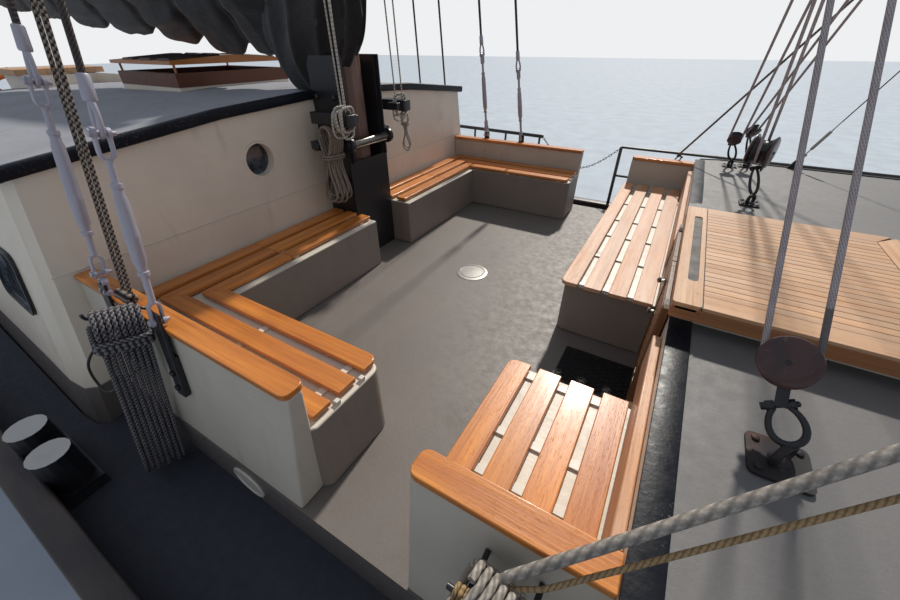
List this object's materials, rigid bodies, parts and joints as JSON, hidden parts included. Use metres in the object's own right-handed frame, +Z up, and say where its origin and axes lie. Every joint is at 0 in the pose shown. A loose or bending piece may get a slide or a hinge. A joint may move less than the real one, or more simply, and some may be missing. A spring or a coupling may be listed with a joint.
{
  "type": "two-masted sailing barge",
  "caption": "Flat-bottomed two-masted sailing barge with a clipper bow, leeboards, deckhouses and a seating well between them.",
  "frame": {"origin": "on the flat bottom, on the centreline, midway between the stem head and the stern", "axes": "+X to the bow, +Y to port, +Z up"},
  "size_m": [34.0089, 5.81, 22.5],
  "materials": {
    "hull": "semi-gloss dark paint, wooden toe rail, grey side decks",
    "cream": "semi-gloss cream paint",
    "deck": "matt grey anti-slip deck paint",
    "varnish": "varnished hardwood",
    "teak": "bare teak",
    "spar": "brown painted wood",
    "sail": "dark brown sailcloth, furled",
    "black_steel": "satin black paint",
    "wire": "galvanised wire and fittings",
    "bronze": "dull bronze",
    "brown_paint": "brown painted wood",
    "rudder_paint": "dark bottom paint"
  },
  "bodies": {
    "hull": {"hull": "hull", "forward_deckhouse": "cream", "aft_deckhouse": "cream", "aft_bench_box_port": "cream", "aft_bench_box_starboard": "cream", "forward_bench_box_port": "cream", "forward_bench_box_starboard": "cream", "well_deck": "deck", "aft_panel_cap_port": "varnish", "aft_panel_cap_starboard": "varnish", "forward_panel_cap_port": "varnish", "forward_panel_cap_starboard": "varnish", "seat_slats_port": "varnish", "seat_slats_starboard": "varnish", "forward_seat_slats_port": "varnish", "forward_seat_slats_starboard": "varnish", "forward_companion_ladder": "varnish", "aft_companion_ladder": "varnish", "mizzen_mast": "spar", "main_mast": "spar", "bowsprit": "spar", "mizzen_tabernacle": "black_steel", "main_tabernacle": "black_steel", "windlass_frame": "black_steel", "bollard_well_port": "black_steel", "bollard_well_starboard": "black_steel", "bollard_bow_port": "black_steel", "bollard_bow_starboard": "black_steel", "anchor_port": "black_steel", "anchor_starboard": "black_steel", "guard_rail_port": "black_steel", "guard_rail_starboard": "black_steel", "mizzen_shrouds_port": "wire", "mizzen_shrouds_starboard": "wire", "main_shrouds_port": "wire", "main_shrouds_starboard": "wire", "forestay": "wire", "jib_stay": "wire", "bobstay": "wire", "steering_gear_box": "brown_paint"},
    "mizzen_boom": {"mizzen_boom": "spar", "mizzen_gaff": "spar", "mizzen_sail": "sail"},
    "main_boom": {"main_boom": "spar", "main_gaff": "spar", "main_sail": "sail"},
    "leeboard_port": {"leeboard_port": "varnish"},
    "leeboard_starboard": {"leeboard_starboard": "varnish"},
    "rudder": {"rudder": "rudder_paint"},
    "steering_wheel": {"steering_wheel": "varnish"},
    "propeller": {"propeller": "bronze"},
    "windlass_drum": {"windlass_drum": "black_steel"},
    "forward_companion_hatch": {"forward_companion_hatch": "teak"},
    "aft_companion_hatch": {"aft_companion_hatch": "teak"},
    "forward_companion_door_port": {"forward_companion_door_port": "brown_paint"},
    "forward_companion_door_starboard": {"forward_companion_door_starboard": "brown_paint"},
    "aft_companion_door_port": {"aft_companion_door_port": "brown_paint"},
    "aft_companion_door_starboard": {"aft_companion_door_starboard": "brown_paint"},
    "foredeck_hatch_lid": {"foredeck_hatch_lid": "teak"},
    "skylight_lid": {"skylight_lid": "teak"}
  },
  "joints": [
    {"name": "mizzen_boom_swing", "type": "hinge", "parent": "hull", "child": "mizzen_boom", "pos_m": [-5.55, 0, 4.2], "axis": [0, 0, 1], "range_deg": [-60, 60]},
    {"name": "main_boom_swing", "type": "hinge", "parent": "hull", "child": "main_boom", "pos_m": [5.62, 0, 4.8], "axis": [0, 0, 1], "range_deg": [-60, 60]},
    {"name": "leeboard_port_lower", "type": "hinge", "parent": "hull", "child": "leeboard_port", "pos_m": [3.4, 2.84, 1.79], "axis": [0, -1, 0], "range_deg": [0, 62]},
    {"name": "leeboard_starboard_lower", "type": "hinge", "parent": "hull", "child": "leeboard_starboard", "pos_m": [3.4, -2.84, 1.79], "axis": [0, -1, 0], "range_deg": [0, 62]},
    {"name": "wheel_turn", "type": "hinge", "parent": "hull", "child": "steering_wheel", "pos_m": [-12.62, 0, 3.01], "axis": [1, 0, 0], "range_deg": [-720, 720]},
    {"name": "rudder_turn", "type": "hinge", "parent": "hull", "child": "rudder", "pos_m": [-12.15, 0, 1.1], "axis": [0, 0, 1], "range_deg": [-40, 40]},
    {"name": "propeller_turn", "type": "hinge", "parent": "hull", "child": "propeller", "pos_m": [-11.45, 0, 0.54], "axis": [1, 0, 0], "continuous": true},
    {"name": "windlass_turn", "type": "hinge", "parent": "hull", "child": "windlass_drum", "pos_m": [10.32, 0, 2.83], "axis": [0, 1, 0], "continuous": true},
    {"name": "forward_hatch_slide", "type": "slide", "parent": "hull", "child": "forward_companion_hatch", "axis": [1, 0, 0], "range_m": [0, 0.9]},
    {"name": "aft_hatch_slide", "type": "slide", "parent": "hull", "child": "aft_companion_hatch", "axis": [1, 0, 0], "range_m": [0, 0.76]},
    {"name": "forward_door_port_swing", "type": "hinge", "parent": "hull", "child": "forward_companion_door_port", "pos_m": [-2.801, 0.024, 2.76], "axis": [0, 0, -1], "range_deg": [0, 90]},
    {"name": "forward_door_starboard_swing", "type": "hinge", "parent": "hull", "child": "forward_companion_door_starboard", "pos_m": [-2.801, -0.864, 2.6], "axis": [0, 0, 1], "range_deg": [0, 90]},
    {"name": "aft_door_port_swing", "type": "hinge", "parent": "hull", "child": "aft_companion_door_port", "pos_m": [-11.321, 0.349, 2.9], "axis": [0, 0, -1], "range_deg": [0, 90]},
    {"name": "aft_door_starboard_swing", "type": "hinge", "parent": "hull", "child": "aft_companion_door_starboard", "pos_m": [-11.321, -0.349, 2.9], "axis": [0, 0, 1], "range_deg": [0, 90]},
    {"name": "foredeck_lid_swing", "type": "hinge", "parent": "hull", "child": "foredeck_hatch_lid", "pos_m": [8.83, 0, 2.486], "axis": [0, 1, 0], "range_deg": [0, 95]},
    {"name": "skylight_lift", "type": "slide", "parent": "hull", "child": "skylight_lid", "axis": [0, 0, 1], "range_m": [-0.058, 0]}
  ],
  "couplings": [
    {"joint": "rudder_turn", "follows": "wheel_turn", "ratio": 0.0555}
  ]
}
